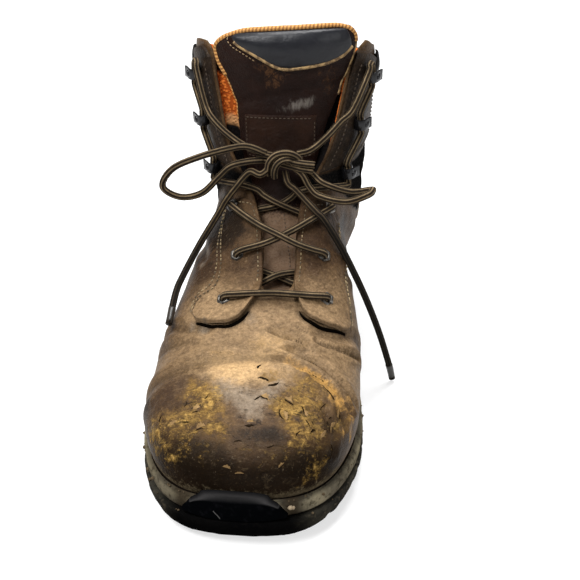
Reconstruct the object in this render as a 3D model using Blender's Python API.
"""Right work boot, 6 inch lace-up with a safety toe, standing empty on its sole.

Frame: +Z up, toe along -Y, medial side (towards the other foot) along +X, origin on the
floor under the heel. Sizes in this file are millimetres, and every mesh is made in metres.
"""

import math

import bmesh
import bpy
import numpy as np
from mathutils import Matrix

MM = 0.001

# Driving dimensions, in millimetres.
SOLE_LENGTH = 316.0
HEEL_BACK = 45.0  # y of the rearmost point of the sole
TOE_CURVE = 80.0  # length of the rounded end of the sole plan
HEEL_CURVE = 42.0
TOE_BLUNT = 2.55  # superellipse power of the toe in plan
HEEL_BLUNT = 2.3
WALL = 2.6  # leather and lining together
COLLAR_PAD = 4.0  # what the padding adds to the wall at the collar
FIT = 0.3  # gap between pieces that touch
EDGE_ROUND = 1.8  # lower edge of the outsole
MIDSOLE_INSET = 1.3
LUG_DEPTH = 4.5
GROOVE_WIDTH = 5.0
CHANNEL_WIDTH = 4.0
BUMPER_TOP = 34.0
BUMPER_THICK = 3.2
INSOLE_THICK = 3.0
LACE = 4.0  # diameter
EYELET_HOLE = 4.4
EYELET_BARREL = 5.6
EYELET_FLANGE = 8.4


def table(columns, *rows):
    """A table with named columns; its first column is the one it is read by."""
    return dict(zip(columns.split(), np.array(rows, float).T))


# Half widths of the sole before its ends are rounded; s runs from the heel to the toe.
SOLE_PLAN = table(
    "s medial lateral",
    (0, 41.0, 42.0),
    (42, 41.5, 42.5),
    (70, 42.0, 43.0),
    (110, 42.0, 44.0),
    (140, 45.5, 47.5),
    (180, 53.5, 54.5),
    (205, 58.0, 59.5),
    (225, 60.5, 61.5),
    (245, 61.5, 61.0),
    (270, 61.5, 59.5),
    (316, 60.5, 58.0),
)
# Heights of the layers of the sole along the boot.
SOLE_SIDE = table(
    "s bottom outsole_top midsole_top",
    (0, 2.5, 18.0, 37.5),
    (12, 0.0, 17.0, 37.0),
    (88, 0.0, 16.0, 34.0),
    (97, 8.0, 15.8, 33.0),
    (130, 7.0, 15.0, 30.5),
    (168, 0.0, 12.5, 27.0),
    (200, 0.0, 12.0, 25.0),
    (240, 0.0, 12.5, 24.0),
    (280, 2.6, 15.2, 25.3),
    (316, 7.5, 20.0, 28.5),
)
# Grooves across the tread: place along the boot and how far they slant towards the heel.
GROOVES = table(
    "s slant",
    (26, -6),
    (45, -4),
    (64, -2),
    (176, 12),
    (194, 10),
    (212, 6),
    (230, 2),
    (248, -4),
    (266, -10),
    (284, -18),
)
# Channels along the tread.
CHANNELS = table("from to x", (170, 296, -15), (170, 296, 19))
# The foot part of the upper, by upright sections: widest half widths, height of the
# widest line over the sole, ridge height, sideways shift of the ridge, section power.
FOOT = table(
    "s medial lateral widest top ridge power",
    (0, 36.5, 37.5, 22, 128, 2, 2.2),
    (42, 36.5, 38.0, 22, 132, 2, 2.2),
    (70, 37.5, 38.5, 20, 134, 3, 2.15),
    (110, 38.5, 40.0, 18, 137, 5, 2.15),
    (136, 43.5, 43.0, 17, 135, 7, 2.2),
    (149, 46.0, 45.5, 16, 131, 8, 2.2),
    (161, 47.5, 48.0, 14, 124, 8, 2.2),
    (176, 51.5, 51.5, 13, 113.5, 8, 2.25),
    (191, 54.5, 54.5, 13, 101.5, 8, 2.3),
    (204, 56.5, 56.5, 13, 91.0, 7, 2.35),
    (216, 57.5, 57.0, 13, 84.0, 5, 2.35),
    (236, 58.5, 57.0, 13, 75.5, 3, 2.35),
    (256, 59.0, 57.0, 14, 70.0, 0, 2.35),
    (276, 59.0, 57.0, 14, 67.5, 0, 2.35),
    (312, 58.0, 55.0, 14, 65.0, 0, 2.35),
)
UPPER_TOE_TIP = 312.5
UPPER_TOE_CURVE = 78.0
UPPER_TOE_BLUNT = 2.7
UPPER_HEEL_END = 9.0
UPPER_HEEL_CURVE = 38.0
FEATHER_PULL = 0.05  # how much narrower the upper is where it meets the sole
# The shaft by level sections: y of its back and front lines, half width, centre x, power.
SHAFT = table(
    "z back front half centre power",
    (20, 37.0, -100, 33.0, 0.0, 2.2),
    (50, 40.0, -108, 37.5, 3.0, 2.2),
    (80, 38.0, -113, 43.0, 6.5, 2.2),
    (110, 32.0, -116, 45.5, 6.0, 2.2),
    (131, 29.0, -112, 47.0, 5.5, 2.3),
    (143, 28.5, -107, 48.5, 5.0, 2.4),
    (155, 28.5, -102, 50.2, 4.4, 2.5),
    (180, 30.0, -95, 53.5, 3.5, 2.6),
    (200, 31.5, -91, 55.0, 3.5, 2.6),
    (235, 33.0, -88, 56.0, 3.5, 2.6),
)
BLEND = 7.0  # how softly the foot and the shaft run together
# The inner edge of the facings from the throat up to the flap corner; share runs 0 to 1.
THROAT = table(
    "share z half",
    (0.00, 87.5, 0.0),
    (0.05, 88.1, 6.0),
    (0.09, 91.0, 9.0),
    (0.22, 102.5, 9.0),
    (0.32, 111.5, 10.3),
    (0.40, 118.5, 12.5),
    (0.48, 126.5, 17.0),
    (0.56, 134.0, 23.0),
    (0.64, 143.0, 28.5),
    (0.74, 155.0, 32.5),
    (0.90, 180.0, 37.5),
    (1.00, 198.0, 41.5),
)
# The throat leans towards the medial side low down.
THROAT_LINE = table(
    "z centre", (80, 9.0), (98, 10.0), (112, 8.0), (125, 5.5), (150, 4.5), (180, 4.5), (200, 6.5)
)
# The top line of the collar, from the flaps' corners to the back.
COLLAR = table("y z", (-74, 200.0), (-60, 196.0), (-30, 182.5), (0, 171.5), (32, 166.0))

# Eyelets and hooks from the toe up, by height and by distance from the throat's centre.
EYELETS = table("z half", (82.8, 27.8), (98.8, 23.7), (114.5, 26.6))
HOOKS = table("z half", (130.0, 36.5), (155.0, 43.0), (180.0, 48.0))
SIDES = {"medial": 1, "lateral": -1}


def along(rows, column, at):
    """Smooth curve through one column of a table, which never overshoots its rows."""
    x, y = next(iter(rows.values())), rows[column]
    step = np.diff(x)
    slope = np.diff(y) / step
    a, b = 2 * step[1:] + step[:-1], step[1:] + 2 * step[:-1]
    same = slope[:-1] * slope[1:] > 0
    safe = np.where(same[:, None], np.stack([slope[:-1], slope[1:]], 1), 1.0)
    turn = np.where(same, (a + b) / (a / safe[:, 0] + b / safe[:, 1]), 0.0)
    turn = np.concatenate([slope[:1], turn, slope[-1:]])
    at = np.clip(at, x[0], x[-1])
    i = np.clip(np.searchsorted(x, at, side="right") - 1, 0, len(step) - 1)
    h, t = step[i], (at - x[i]) / step[i]
    return (
        (1 + 2 * t) * (1 - t) ** 2 * y[i]
        + t * (1 - t) ** 2 * h * turn[i]
        + t * t * (3 - 2 * t) * y[i + 1]
        + t * t * (t - 1) * h * turn[i + 1]
    )


def ease(t):
    t = np.clip(t, 0.0, 1.0)
    return t * t * (3 - 2 * t)


# ---------------------------------------------------------------- form of the upper


def foot(p):
    """Below 0 inside the foot part of the upper, about millimetres near its surface."""
    s, z = HEEL_BACK - p[..., 1], p[..., 2]
    base = along(SOLE_SIDE, "midsole_top", s)
    widest = base + along(FOOT, "widest", s)
    rise = along(FOOT, "top", s) - widest
    power = along(FOOT, "power", s)
    up = np.maximum(z - widest, 0) / rise
    down = np.clip((widest - z) / (widest - base), 0, 1.3)
    pull = 1 - FEATHER_PULL * down**2
    x = p[..., 0] - along(FOOT, "ridge", s) * up**1.5
    half = np.where(x > 0, along(FOOT, "medial", s), along(FOOT, "lateral", s))
    toe = np.maximum(s - (UPPER_TOE_TIP - UPPER_TOE_CURVE), 0) / UPPER_TOE_CURVE
    heel = np.maximum(UPPER_HEEL_END + UPPER_HEEL_CURVE - s, 0) / UPPER_HEEL_CURVE
    blunt = np.where(toe > 0, UPPER_TOE_BLUNT, HEEL_BLUNT)
    plan = (np.abs(x / half) ** blunt + (toe + heel) ** blunt) ** (1 / blunt) / pull
    return ((plan**power + up**power) ** (1 / power) - 1) * 45.0


def shaft(p):
    """The same for the shaft."""
    z = p[..., 2]
    back, front = along(SHAFT, "back", z), along(SHAFT, "front", z)
    power = along(SHAFT, "power", z)
    across = np.abs((p[..., 0] - along(SHAFT, "centre", z)) / along(SHAFT, "half", z))
    length = np.abs((p[..., 1] - (back + front) / 2) / ((back - front) / 2))
    return ((across**power + length**power) ** (1 / power) - 1) * 45.0


def form(p):
    """The outside of the upper is where this is 0."""
    p = np.asarray(p, float)
    a, b = foot(p), shaft(p)
    near = np.maximum(BLEND - np.abs(a - b), 0) / BLEND
    return np.minimum(a, b) - near * near * BLEND / 4


def outward(p):
    """The direction in which the form grows, and how fast."""
    step = 0.05
    grow = np.stack(
        [(form(p + step * axis) - form(p - step * axis)) / (2 * step) for axis in np.eye(3)],
        axis=-1,
    )
    size = np.linalg.norm(grow, axis=-1, keepdims=True)
    return grow / np.maximum(size, 1e-9), np.maximum(size[..., 0], 1e-9)


def settle(p, rounds=12):
    """Points moved onto the surface of the form."""
    p = np.array(p, float)
    for _ in range(rounds):
        way, size = outward(p)
        p -= np.clip(form(p) / size, -8, 8)[..., None] * way
    return p


def front(x, z):
    """y of the surface seen from the front at (x, z)."""
    x, z = np.broadcast_arrays(np.asarray(x, float), np.asarray(z, float))
    far, near = np.full(x.shape, -290.0), np.full(x.shape, -40.0)
    for _ in range(40):
        y = (far + near) / 2
        inside = form(np.stack([x, y, z], axis=-1)) < 0
        far, near = np.where(inside, far, y), np.where(inside, y, near)
    return (far + near) / 2


def on_front(side, z, half, lift=0.0):
    """The point on one side of the throat at a height and a distance from its centre."""
    z = np.asarray(z, float)
    x = along(THROAT_LINE, "centre", z) + side * np.asarray(half, float)
    x, z = np.broadcast_arrays(x, z)
    p = np.stack([x, front(x, z), z], axis=-1)
    return p + lift * outward(p)[0]


# ---------------------------------------------------------------- making objects


def material(name, colour, roughness, metallic=0.0):
    made = bpy.data.materials.new(name)
    made.use_nodes = True
    shader = made.node_tree.nodes["Principled BSDF"]
    shader.inputs["Base Color"].default_value = (*colour, 1.0)
    shader.inputs["Roughness"].default_value = roughness
    shader.inputs["Metallic"].default_value = metallic
    made.diffuse_color = (*colour, 1.0)
    return made


def add_object(name, points, faces, finish, smooth=True):
    """One object from points in millimetres, with its faces turned outwards."""
    mesh = bpy.data.meshes.new(name)
    mesh.from_pydata((np.asarray(points, float) * MM).tolist(), [], faces)
    work = bmesh.new()
    work.from_mesh(mesh)
    bmesh.ops.recalc_face_normals(work, faces=work.faces)
    work.to_mesh(mesh)
    work.free()
    if smooth:
        mesh.shade_smooth()
        mesh.set_sharp_from_angle(angle=math.radians(40))
    made = bpy.data.objects.new(name, mesh)
    made.data.materials.append(finish)
    bpy.context.collection.objects.link(made)
    return made


def ring_faces(rings, size, start=0, closed_ends=True):
    """Faces between rings of points that follow each other, with the end rings filled."""
    faces = []
    for r in range(rings - 1):
        for k in range(size):
            a, b = start + r * size + k, start + r * size + (k + 1) % size
            faces.append((a, b, b + size, a + size))
    if closed_ends:
        faces.append(tuple(start + k for k in reversed(range(size))))
        faces.append(tuple(start + (rings - 1) * size + k for k in range(size)))
    return faces


def shell_faces(rows, columns, wrap=False):
    """Faces of two grids of points, outer then inner, closed along their rims."""
    faces, size = [], rows * columns
    spans = columns if wrap else columns - 1
    for r in range(rows - 1):
        for c in range(spans):
            a, b = r * columns + c, r * columns + (c + 1) % columns
            faces.append((a, b, b + columns, a + columns))
            faces.append((size + a, size + a + columns, size + b + columns, size + b))
    rim = [(0, c, 0, (c + 1) % columns) for c in range(spans)]
    rim += [(rows - 1, (c + 1) % columns, rows - 1, c) for c in range(spans)]
    if not wrap:
        rim += [(r + 1, 0, r, 0) for r in range(rows - 1)]
        rim += [(r, columns - 1, r + 1, columns - 1) for r in range(rows - 1)]
    for r1, c1, r2, c2 in rim:
        a, b = r1 * columns + c1, r2 * columns + c2
        faces.append((b, a, size + a, size + b))
    return faces


def loose(name, work, finish=None):
    """An object from work done in metres."""
    mesh = bpy.data.meshes.new(name)
    work.to_mesh(mesh)
    work.free()
    made = bpy.data.objects.new(name, mesh)
    if finish:
        mesh.materials.append(finish)
        mesh.shade_smooth()
    bpy.context.collection.objects.link(made)
    return made


def cut(target, cutter, operation="DIFFERENCE"):
    step = target.modifiers.new(operation.lower(), "BOOLEAN")
    step.operation = operation
    step.object = cutter
    cutter.hide_render = True
    cutter.display_type = "WIRE"


def spaced(line, count):
    """The line again with its points evenly spaced along it."""
    line = np.asarray(line, float)
    run = np.concatenate([[0], np.cumsum(np.linalg.norm(np.diff(line, axis=0), axis=1))])
    at = np.linspace(0, run[-1], count)
    return np.stack([np.interp(at, run, line[:, k]) for k in range(3)], axis=1)


# ---------------------------------------------------------------- sole


def plan_half(s, side, inset=0.0, toe_inset=0.0):
    """Half width of the sole at s, with both its ends rounded."""
    width = along(SOLE_PLAN, side, s) - inset
    toe_curve, heel_curve = TOE_CURVE - inset - toe_inset, HEEL_CURVE - inset
    toe = np.clip((s - (SOLE_LENGTH - TOE_CURVE)) / toe_curve, 0, 1)
    heel = np.clip((HEEL_CURVE - s) / heel_curve, 0, 1)
    return (
        width
        * (1 - toe**TOE_BLUNT) ** (1 / TOE_BLUNT)
        * (1 - heel**HEEL_BLUNT) ** (1 / HEEL_BLUNT)
    )


def stations(first, last, count):
    """Places along the boot, closer together towards both of its round ends."""
    t = np.linspace(0, 1, count)
    t = t - 0.13 * np.sin(2 * math.pi * t)
    return first + (last - first) * t


def slab(name, finish, at, section):
    """A solid lofted through one section of points at each place along the boot."""
    rings = [section(s) for s in at]
    return add_object(
        name, np.concatenate(rings), ring_faces(len(rings), len(rings[0])), finish
    )


def outsole_section(s):
    low, top = (float(along(SOLE_SIDE, column, s)) for column in ("bottom", "outsole_top"))
    medial, lateral = (float(plan_half(s, side)) for side in SIDES)
    y = HEEL_BACK - s
    return np.array(
        [
            (medial - EDGE_ROUND, y, low),
            (medial, y, low + EDGE_ROUND),
            (medial, y, top),
            (-lateral, y, top),
            (-lateral, y, low + EDGE_ROUND),
            (-lateral + EDGE_ROUND, y, low),
        ]
    )


def midsole_section(s):
    low = float(along(SOLE_SIDE, "outsole_top", s)) + FIT
    top = float(along(SOLE_SIDE, "midsole_top", s))
    y = HEEL_BACK - s
    at_toe = BUMPER_THICK + FIT - MIDSOLE_INSET
    medial, lateral = (float(plan_half(s, side, MIDSOLE_INSET, at_toe)) for side in SIDES)
    edge = [(0.0, low), (0.5, (low + top) / 2), (-0.2, top - 1.5), (-1.6, top)]
    return np.array(
        [(medial + out, y, z) for out, z in edge]
        + [(-lateral - out, y, z) for out, z in reversed(edge)]
    )


def add_bar(work, start, end, width):
    """A closed bar from start to end, each (x, s), as deep as the grooves."""
    start, end = np.array(start, float), np.array(end, float)
    ahead = (end - start) / np.linalg.norm(end - start)
    aside = np.array([-ahead[1], ahead[0]]) * width / 2
    low, high = [], []
    for x, s in (start + aside, end + aside, end - aside, start - aside):
        floor = float(along(SOLE_SIDE, "bottom", s))
        low.append(work.verts.new((x * MM, (HEEL_BACK - s) * MM, (floor - 6) * MM)))
        high.append(work.verts.new((x * MM, (HEEL_BACK - s) * MM, (floor + LUG_DEPTH) * MM)))
    made = [work.faces.new(low), work.faces.new(high)]
    for k in range(4):
        n = (k + 1) % 4
        made.append(work.faces.new((low[k], low[n], high[n], high[k])))
    bmesh.ops.recalc_face_normals(work, faces=made)


def groove_cutter():
    """Bars that stand where the grooves between the lugs are cut from below."""
    work = bmesh.new()
    for s, slant in zip(GROOVES["s"], GROOVES["slant"]):
        for side in SIDES.values():
            add_bar(work, (side * 8, s), (side * 80, s - slant), GROOVE_WIDTH)
    for s0, s1, x in zip(*(CHANNELS[column] for column in ("from", "to", "x"))):
        add_bar(work, (x, s0), (x, s1), CHANNEL_WIDTH)
    return loose("groove_cutter", work)


def make_sole(rubber, foam):
    outsole = slab("outsole", rubber, stations(0.4, SOLE_LENGTH - 0.3, 34), outsole_section)
    midsole_end = SOLE_LENGTH - BUMPER_THICK - FIT - 0.4
    slab("midsole", foam, stations(1.8, midsole_end, 30), midsole_section)
    cut(outsole, groove_cutter())
    outsole.modifiers[-1].use_self = True  # the bars cross each other


# ---------------------------------------------------------------- upper

REAR_SPANS = 13  # spans from the heel to the flap corner, on one side
FRONT_SPANS = 19  # and on to the toe
ROWS = 18
CORNER_S = 108.0  # where along the sole the line through the flap corner starts


def settle_level(p, rounds=15):
    """Points moved onto the form without changing their height."""
    p = np.array(p, float)
    for _ in range(rounds):
        way, _ = outward(p)
        flat = np.hypot(way[..., 0], way[..., 1])[..., None]
        _, size = outward(p)
        move = np.clip(form(p) / size, -6, 6)[..., None] * way / np.maximum(flat, 0.3) ** 2
        p[..., :2] -= move[..., :2]
    return p


def rim_height(y):
    return along(SOLE_SIDE, "midsole_top", HEEL_BACK - y) + FIT


def feather(side):
    """Where one side of the upper meets the sole, from the heel's centre to the toe's."""
    turn = np.linspace(0, math.pi, 200)
    middle = HEEL_BACK - (UPPER_TOE_TIP + UPPER_HEEL_END) / 2
    x = side * 48 * np.sin(turn) + 3.5 * (1 - np.cos(turn)) / 2
    y = middle + (UPPER_TOE_TIP - UPPER_HEEL_END) / 2 * np.cos(turn)
    p = np.stack([x, y, rim_height(y)], axis=1)
    for _ in range(3):
        p = settle_level(p)
        p[:, 2] = rim_height(p[:, 1])
    p = spaced(p, 600)
    corner = int(np.argmin(np.abs(HEEL_BACK - p[:, 1] - CORNER_S)))
    line = np.concatenate([spaced(p[: corner + 1], REAR_SPANS + 1)[:-1],
                           spaced(p[corner:], FRONT_SPANS + 1)])
    line[:, 2] = rim_height(line[:, 1])
    return line


def collar(side, corner):
    """The top line of one side, from the back of the collar to the flap's corner."""
    middle = np.array([2.5, -28.0])
    start = math.atan2(corner[0] - middle[0], corner[1] - middle[1])
    share = np.linspace(0, 1, 120)
    turn = start * share
    way = np.stack([np.sin(turn), np.cos(turn)], axis=1)
    near, far = np.zeros(len(share)), np.full(len(share), 120.0)
    for _ in range(40):
        reach = (near + far) / 2
        at = middle + way * reach[:, None]
        z = along(COLLAR, "z", at[:, 1])
        inside = form(np.column_stack([at, z])) < 0
        near, far = np.where(inside, reach, near), np.where(inside, far, reach)
    z = z - (z[-1] - corner[2]) * ease((share - 0.93) / 0.07)  # the corner is rounded
    line = np.column_stack([at, z])
    return spaced(line, REAR_SPANS + 1)


def throat(side):
    """The edge of one facing, from the flap's corner down to the throat's bottom."""
    share = np.linspace(1, 0, 240)
    line = on_front(side, along(THROAT, "z", share), along(THROAT, "half", share))
    run = np.concatenate([[0], np.cumsum(np.linalg.norm(np.diff(line, axis=0), axis=1))])
    at = run[-1] * (1 - (1 - np.linspace(0, 1, FRONT_SPANS + 1)) ** 1.15)
    return np.stack([np.interp(at, run, line[:, k]) for k in range(3)], axis=1)


def skin():
    """Rows of points on the outside of the upper, from the sole to the top edge."""
    sides = []
    for side in SIDES.values():
        low, edge = feather(side), throat(side)
        high = np.concatenate([collar(side, edge[0])[:-1], edge])
        sides.append((low, high))
    low = np.concatenate([sides[0][0], sides[1][0][-2:0:-1]])
    high = np.concatenate([sides[0][1], sides[1][1][-2:0:-1]])
    share = np.linspace(0, 1, 60)[:, None, None]
    bend = np.stack([low[:, 0], low[:, 1] * 0.75 + high[:, 1] * 0.25, high[:, 2] * 0.8 + 8], 1)
    rows = (1 - share) ** 2 * low + 2 * share * (1 - share) * bend + share**2 * high
    rows[1:-1] = settle(rows[1:-1])
    columns = [spaced(rows[:, k], ROWS) for k in range(rows.shape[1])]
    rows = np.stack(columns, axis=1)
    rows[1:-1] = settle(rows[1:-1])
    return rows


def wall_at(p):
    """Thickness of the wall, which grows into the padded collar."""
    below = along(COLLAR, "z", p[..., 1]) - p[..., 2]
    pad = ease((50 - below) / 30) * ease((p[..., 1] + 55) / 30)
    return WALL + COLLAR_PAD * pad


def make_upper(leather):
    outer = skin()
    inner = outer - wall_at(outer)[..., None] * outward(outer)[0]
    inner[0, :, 2] = rim_height(inner[0, :, 1])
    rows, columns = outer.shape[:2]
    points = np.concatenate([outer.reshape(-1, 3), inner.reshape(-1, 3)])
    upper = add_object("upper", points, shell_faces(rows, columns, wrap=True), leather)
    for side in SIDES.values():
        for z, half in zip(EYELETS["z"], EYELETS["half"]):
            cut(upper, eyelet_cutter(on_front(side, z, half)))
    return upper


# ---------------------------------------------------------------- toe bumper and insole


def make_bumper(rubber):
    """A rubber patch over the toe, thicker low down, with a rounded top."""
    base = float(along(SOLE_SIDE, "outsole_top", SOLE_LENGTH)) + FIT
    rows, columns = 8, 15
    middle = -1.0
    up = np.linspace(0, 1, rows)
    across = np.linspace(-1, 1, columns)
    outer, inner = [], []
    for t in up:
        half = 30 - 8 * t
        x = middle + half * across
        arch = 1 - 0.28 * np.abs(across) ** 4  # the top corners are rounded off
        z = base + 1.2 * (1 - t) * np.abs(across) ** 2 + (BUMPER_TOP - base) * t * arch
        cap = front(x, np.maximum(z, rim_height(-262.0)))
        side = np.where(x > 0, "medial", "lateral")
        sole = np.array([sole_front(a, b) for a, b in zip(x, side)])
        slope = ease((z - 30.5) / 8)
        back = np.minimum(cap, sole + BUMPER_THICK + slope * 30) - FIT - 0.1
        face = np.minimum(sole + slope * 30, back - 2.0)
        outer.append(np.column_stack([x, face, z]))
        inner.append(np.column_stack([x, back, z]))
    points = np.concatenate([np.concatenate(outer), np.concatenate(inner)])
    return add_object("toe_bumper", points, shell_faces(rows, columns), rubber)


def sole_front(x, side):
    """y of the front of the sole at x."""
    near, far = SOLE_LENGTH - TOE_CURVE, SOLE_LENGTH
    for _ in range(40):
        s = (near + far) / 2
        wide = plan_half(s, side) > abs(x)
        near, far = (s, far) if wide else (near, s)
    return HEEL_BACK - near


def make_insole(foam):
    """A thin board inside the upper, on the midsole."""
    sides = [feather(side) for side in SIDES.values()]
    rim = np.concatenate([sides[0], sides[1][-2:0:-1]])
    way = outward(rim)[0]
    way[:, 2] = 0
    way /= np.linalg.norm(way, axis=1, keepdims=True)
    low = rim - (WALL + 1.0) * way
    low[:, 2] = rim_height(low[:, 1])
    high = low.copy()
    high[:, 2] += INSOLE_THICK
    size = len(low)
    half = size // 2
    faces = []
    for k in range(size):
        n = (k + 1) % size
        faces.append((k, n, size + n, size + k))
    for k in range(half):
        a, b, c, d = k, k + 1, (size - k - 1) % size, (size - k) % size
        quad = [a, b, c, d] if a != d else [a, b, c]
        quad = list(dict.fromkeys(quad))
        faces.append(tuple(quad))
        faces.append(tuple(size + q for q in reversed(quad)))
    return add_object("insole", np.concatenate([low, high]), faces, foam)


# ---------------------------------------------------------------- tongue

TONGUE = table(
    "z medial lateral lift thick",
    (78.5, 20.0, 20.0, -3.2, 2.0),
    (82.0, 22.0, 22.0, -3.8, 2.2),
    (87.0, 22.5, 22.5, -8.6, 2.4),
    (97.0, 23.5, 23.5, -8.9, 2.6),
    (110.0, 24.5, 24.5, -9.1, 2.8),
    (122.0, 25.5, 25.5, -9.1, 3.0),
    (134.0, 26.5, 26.0, -8.2, 3.2),
    (146.0, 27.5, 26.0, -6.0, 3.6),
    (157.0, 29.5, 26.0, -4.2, 4.0),
    (168.0, 33.0, 26.5, -3.0, 4.6),
    (178.0, 36.0, 28.5, -2.0, 6.0),
    (188.0, 38.5, 32.5, -0.5, 9.0),
    (197.0, 39.5, 37.5, 1.2, 11.0),
    (204.5, 40.0, 39.5, 1.8, 11.0),
    (209.5, 39.5, 37.0, 0.8, 8.5),
    (212.0, 38.0, 33.5, -1.2, 4.5),
)
TONGUE_TILT = 0.07  # its top stands higher towards the medial side


def make_tongue(leather):
    across = np.linspace(-1, 1, 11)
    outer, inner = [], []
    columns = ("z", "medial", "lateral", "lift", "thick")
    for z, medial, lateral, lift, thick in zip(*(TONGUE[column] for column in columns)):
        half = np.where(across > 0, medial, lateral)
        x = along(THROAT_LINE, "centre", np.array(z)) + half * across
        share = ease((z - 150) / 55)
        height = z + TONGUE_TILT * half * across * share - 3.0 * share * across**4
        p = np.stack([x, front(x, height), height], axis=-1)
        way = outward(p)[0]
        thin = thick * (1 - 0.55 * np.abs(across) ** 5)
        p = p + (lift - 0.8 * np.abs(across)[:, None] ** 4) * way
        outer.append(p)
        inner.append(p - thin[:, None] * way)
    points = np.concatenate([np.concatenate(outer), np.concatenate(inner)])
    return add_object("tongue", points, shell_faces(len(outer), len(across)), leather)


# ---------------------------------------------------------------- eyelets and hooks


def frame_at(point, up=(0, 0, 1)):
    """Axes at a point of the upper: across towards +X, along the edge, outwards."""
    out = outward(point)[0]
    across = np.cross(up, out)
    across /= np.linalg.norm(across)
    return np.stack([across, np.cross(out, across), out], axis=1)


def place(made, point, axes):
    matrix = np.eye(4)
    matrix[:3, :3] = axes
    matrix[:3, 3] = np.asarray(point) * MM
    made.matrix_world = Matrix(matrix.tolist())
    return made


def seat(point, reach):
    """The point again, lifted until a flat piece of this reach clears the leather."""
    axes = frame_at(point)
    turn = np.linspace(0, 2 * math.pi, 12, endpoint=False)
    rim = point + reach * (np.cos(turn)[:, None] * axes[:, 0] + np.sin(turn)[:, None] * axes[:, 1])
    depth = -form(rim) / outward(rim)[1]
    return point + max(0.0, depth.max() + 0.25) * axes[:, 2]


def eyelet_cutter(point):
    work = bmesh.new()
    bmesh.ops.create_cone(
        work,
        cap_ends=True,
        segments=10,
        radius1=(EYELET_BARREL / 2 + 0.45) * MM,
        radius2=(EYELET_BARREL / 2 + 0.45) * MM,
        depth=16 * MM,
    )
    return place(loose("eyelet_cutter", work), point, frame_at(point))


def make_eyelet(name, point, steel):
    hole, barrel, flange = EYELET_HOLE / 2, EYELET_BARREL / 2, EYELET_FLANGE / 2
    profile = [
        (hole, -WALL - 1.2),
        (barrel, -WALL - 1.2),
        (barrel, FIT + 0.1),
        (flange, FIT + 0.1),
        (flange - 0.6, FIT + 1.0),
        (hole, FIT + 1.0),
    ]
    sides = 10
    points = [
        (r * math.cos(a), r * math.sin(a), z)
        for a in (2 * math.pi * k / sides for k in range(sides))
        for r, z in profile
    ]
    size = len(profile)
    faces = [
        (a * size + k, b * size + k, b * size + n, a * size + n)
        for a, b in ((a, (a + 1) % sides) for a in range(sides))
        for k, n in ((k, (k + 1) % size) for k in range(size))
    ]
    return place(add_object(name, points, faces, steel), point, frame_at(point))


HOOK_WIDTH = 7.0
HOOK_OUTER = [(5.0, 0), (-3.4, 0), (-5.2, 1.6), (-5.2, 5.6), (-3.4, 7.4), (4.2, 7.8)]
HOOK_INNER = [(5.0, 1.2), (-3.0, 1.2), (-4.0, 2.2), (-4.0, 5.2), (-3.0, 6.2), (4.2, 6.6)]


def make_hook(name, side, point, steel):
    """A lace hook: a plate on the flap that curls out and back, open away from the throat."""
    points = [
        (side * w, t, n + FIT + 0.3)
        for profile in (HOOK_OUTER, HOOK_INNER)
        for t in (-HOOK_WIDTH / 2, HOOK_WIDTH / 2)
        for w, n in profile
    ]
    made = add_object(name, points, shell_faces(2, len(HOOK_OUTER)), steel)
    return place(made, point, frame_at(point))


def make_hardware(steel, black_steel):
    for side_name, side in SIDES.items():
        for k, (z, half) in enumerate(zip(EYELETS["z"], EYELETS["half"]), 1):
            point = seat(on_front(side, z, half), EYELET_FLANGE / 2)
            make_eyelet(f"eyelet_{k}_{side_name}", point, steel)
        for k, (z, half) in enumerate(zip(HOOKS["z"], HOOKS["half"]), 1):
            make_hook(f"hook_{k}_{side_name}", side, on_front(side, z, half), black_steel)


# ---------------------------------------------------------------- laces

TUBE_SIDES = 6
KNOT = np.array([7.5, -113.0, 145.0])
KNOT_RADII = np.array([9.5, 5.5, 6.5])
KNOT_GAP = 0.8

# Free ends and loops, from the knot outwards; the last point of a loop is back at the knot.
LOOP_LATERAL = [
    (-11, -116, 153),
    (-20.5, -114.5, 151),
    (-39.5, -111.5, 143.5),
    (-56, -110, 134.5),
    (-62.5, -109, 122.5),
    (-52.5, -108.5, 116),
    (-39.5, -108, 119),
    (-28.5, -109.5, 131),
    (-21.5, -111.5, 138.5),
    (-11.5, -114.5, 143),
]
LOOP_MEDIAL = [
    (20, -118, 138),
    (24.5, -120, 131),
    (30.5, -122.5, 127),
    (45.5, -125, 125.5),
    (57.5, -124.5, 130),
    (60, -121.5, 131.5),
    (58.5, -118, 130),
    (47, -116, 127.5),
    (32, -117, 132.5),
    (25, -114, 137),
]
TAIL_LATERAL = [
    (-3.5, -120.5, 138),
    (-10, -118.5, 138.5),
    (-18.5, -118.5, 128),
    (-23.5, -121, 121.5),
    (-28, -123, 113.5),
    (-38, -129, 97),
    (-46.5, -142, 82.5),
    (-49.5, -151, 76),
    (-50.5, -170.5, 67),
]
TAIL_MEDIAL = [
    (12, -119.5, 133),
    (17, -121.5, 129.5),
    (28.5, -130, 121.5),
    (33.5, -131.5, 117),
    (42.5, -133, 102.5),
    (51, -130.5, 83.5),
    (59.5, -126, 61),
    (67.5, -122.5, 37),
    (74, -119.5, 13.5),
    (76.5, -119, 2.5),
]


def smooth_line(points, gap):
    """A smooth curve through points, read every so many millimetres."""
    p = np.asarray(points, float)
    p = np.concatenate([[2 * p[0] - p[1]], p, [2 * p[-1] - p[-2]]])
    t = np.linspace(0, 1, 12, endpoint=False)[:, None]
    line = []
    for a, b, c, d in zip(p[:-3], p[1:-2], p[2:-1], p[3:]):
        line.append(
            0.5
            * (
                2 * b
                + (c - a) * t
                + (2 * a - 5 * b + 4 * c - d) * t**2
                + (3 * b - a - 3 * c + d) * t**3
            )
        )
    line = np.concatenate(line + [p[-2:-1]])
    run = np.linalg.norm(np.diff(line, axis=0), axis=1).sum()
    return spaced(line, max(2, round(run / gap) + 1))


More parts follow.
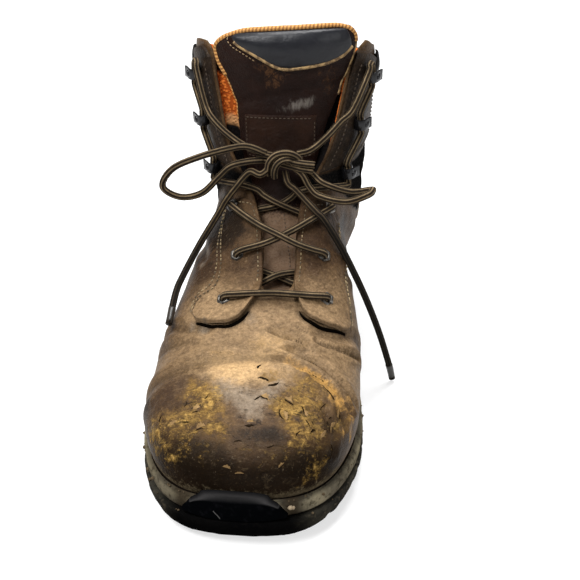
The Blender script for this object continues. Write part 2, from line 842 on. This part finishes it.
def tube(name, line, finish):
    """A closed tube of the lace's size along a line."""
    way = np.gradient(line, axis=0)
    way /= np.linalg.norm(way, axis=1, keepdims=True)
    side = np.cross(way[0], (0.3, 0.2, 1.0))
    rings = []
    for point, ahead in zip(line, way):
        side = side - ahead * (side @ ahead)
        side /= np.linalg.norm(side)
        turn = 2 * math.pi * np.arange(TUBE_SIDES)[:, None] / TUBE_SIDES
        rings.append(point + LACE / 2 * (np.cos(turn) * side + np.sin(turn) * np.cross(ahead, side)))
    return add_object(
        name, np.concatenate(rings), ring_faces(len(rings), TUBE_SIDES), finish
    )


def joined(name, lines, finish):
    """Two strands that cross and touch, as one solid."""
    first = tube(name, lines[0], finish)
    second = tube(name + "_over", lines[1], finish)
    cut(first, second, "UNION")
    return first


def strand(side, *rows):
    """Points over the facings: height, distance towards one side, lift off the leather."""
    return [on_front(side, z, half, lift) for z, half, lift in rows]


def by_hook(side, number, away, up, out):
    """A point beside a hook, in the hook's own directions."""
    point = on_front(side, HOOKS["z"][number - 1], HOOKS["half"][number - 1])
    return point + frame_at(point) @ (side * away, up, out)


def knot_gate(towards):
    """Where a strand that comes from a point meets the knot."""
    way = np.asarray(towards, float) - KNOT
    reach = 1 / np.linalg.norm(way / KNOT_RADII)
    return KNOT + way * (reach + KNOT_GAP / np.linalg.norm(way))


def bar_line():
    z, half = EYELETS["z"][0], EYELETS["half"][0]
    arc = [(-1.0, 0.0, 4.6), (-0.7, 1.2, 3.4), (-0.35, 2.6, 3.0), (0, 3.2, 3.0)]
    arc += [(-share, rise, lift) for share, rise, lift in arc[-2::-1]]
    return smooth_line(strand(1, *[(z + rise, half * share, lift) for share, rise, lift in arc]), 5)


def hidden_cross(side, over):
    """Eyelet 1 to eyelet 2 of the other side, under the facings."""
    rows = [(86.8, -24, -5.7), (88.8, -18, -5.9), (91.5, -10.5, -5.8), (94, 0, -5.7 + over),
            (96, 10.5, -5.8), (97.5, 17, -5.8), (98.2, 21, -5.8)]
    return smooth_line(strand(side, *rows), 5)


def open_cross(side, over):
    """Eyelet 2 to eyelet 3 of the other side, on top of the facings."""
    (z2, z3), (h2, h3) = EYELETS["z"][1:], EYELETS["half"][1:]
    rows = [(z2, -h2, 5.1), (z2 + 2.2, -17, 3.8), (z2 + 5.0, -9, 3.0 + over / 2),
            (z2 + 8.2, 0, 3.0 + over), (z3 - 4.5, 9, 3.0 + over / 2), (z3 - 2, 17, 3.9), (z3, h3, 5.2)]
    return smooth_line(strand(side, *rows), 5)


def hook_run(side, over, descent):
    """From under eyelet 3 of the other side, up the three hooks and down to the knot."""
    line = strand(side, (116.3, -23, -6.0), (117.5, -17, -6.1), (119.0, -12.5, -6.0),
                  (121.6, 0, -5.8 + over), (124.0, 8, -4.0 + over / 2), (125.8, 11.8, -0.6),
                  (126.4, 17.5, 3.2), (125.6, 24, 4.0))
    line += [by_hook(side, 1, -3.0, -8.0, 4.6), by_hook(side, 1, -1.4, -4.5, 4.4)]
    line += [by_hook(side, 1, -1.4, up, 4.4) for up in (3.5, 7.0)]
    line += [by_hook(side, 2, -1.4, up, 4.4) for up in (-7.5, -4.0, 3.5, 7.0)]
    line += [by_hook(side, 3, -1.4, up, 4.4) for up in (-7.5, -4.0, 3.2)]
    line += [by_hook(side, 3, *turn) for turn in
             ((-2.2, 6.4, 4.5), (-4.4, 8.2, 4.7), (-7.0, 7.4, 5.0), (-8.8, 4.2, 5.4))]
    line += [np.array(p) for p in descent]
    line.append(knot_gate(line[-1]))
    return smooth_line(line, 4.5)


DESCENTS = {
    "medial": [(46.5, -90.0, 167.0), (40.0, -95.5, 161.5), (32.2, -103.5, 154.8), (24.0, -108.5, 149.0)],
    "lateral": [(-38.0, -91.0, 165.5), (-30.5, -98.0, 158.0), (-19.5, -104.5, 151.6), (-10.0, -108.6, 148.4)],
}


def cord(name, points, finish):
    """A free end or a loop of the lace."""
    line = smooth_line(points, 2.2 * LACE)
    curve = bpy.data.curves.new(name, "CURVE")
    curve.dimensions = "3D"
    curve.bevel_depth = LACE / 2 * MM
    curve.bevel_resolution = 2
    curve.use_fill_caps = True
    spline = curve.splines.new("POLY")
    spline.points.add(len(line) - 1)
    for point, at in zip(spline.points, line):
        point.co = (*(at * MM), 1.0)
    curve.materials.append(finish)
    made = bpy.data.objects.new(name, curve)
    bpy.context.collection.objects.link(made)
    return made


def make_knot(finish):
    work = bmesh.new()
    bmesh.ops.create_uvsphere(work, u_segments=12, v_segments=8, radius=1.0)
    for v in work.verts:
        v.co = [(k + c * r) * MM for k, c, r in zip(KNOT, v.co, KNOT_RADII)]
    return loose("lace_knot", work, finish)


def make_laces(finish):
    tube("lace_bar", bar_line(), finish)
    joined("lace_cross_1", [hidden_cross(-1, 0.0), hidden_cross(1, 3.2)], finish)
    joined("lace_cross_2", [open_cross(-1, 0.0), open_cross(1, 3.2)], finish)
    runs = [hook_run(side, over, DESCENTS[name]) for name, side, over in
            (("medial", 1, 0.0), ("lateral", -1, 3.2))]
    joined("lace_cross_3", runs, finish)
    make_knot(finish)
    for name, route in (("loop_lateral", LOOP_LATERAL), ("loop_medial", LOOP_MEDIAL)):
        ends = [knot_gate(route[0])], [knot_gate(route[-1])]
        cord("lace_" + name, ends[0] + route + ends[1], finish)
    for name, route in (("tail_lateral", TAIL_LATERAL), ("tail_medial", TAIL_MEDIAL)):
        cord("lace_" + name, [knot_gate(route[0])] + route, finish)


def clear():
    for old in list(bpy.data.objects):
        bpy.data.objects.remove(old, do_unlink=True)


def main():
    clear()
    leather = material("brown leather", (0.13, 0.075, 0.04), 0.55)
    tongue_leather = material("dark leather", (0.08, 0.045, 0.03), 0.5)
    foam = material("dirty midsole foam", (0.24, 0.21, 0.15), 0.8)
    rubber = material("outsole rubber", (0.07, 0.068, 0.062), 0.75)
    black_rubber = material("bumper rubber", (0.012, 0.012, 0.013), 0.5)
    steel = material("gunmetal", (0.25, 0.24, 0.23), 0.35, 1.0)
    black_steel = material("black steel", (0.03, 0.03, 0.032), 0.35, 0.8)
    lace = material("striped lace", (0.05, 0.035, 0.022), 0.85)
    make_sole(rubber, foam)
    make_upper(leather)
    make_bumper(black_rubber)
    make_insole(foam)
    make_tongue(tongue_leather)
    make_hardware(steel, black_steel)
    make_laces(lace)


main()
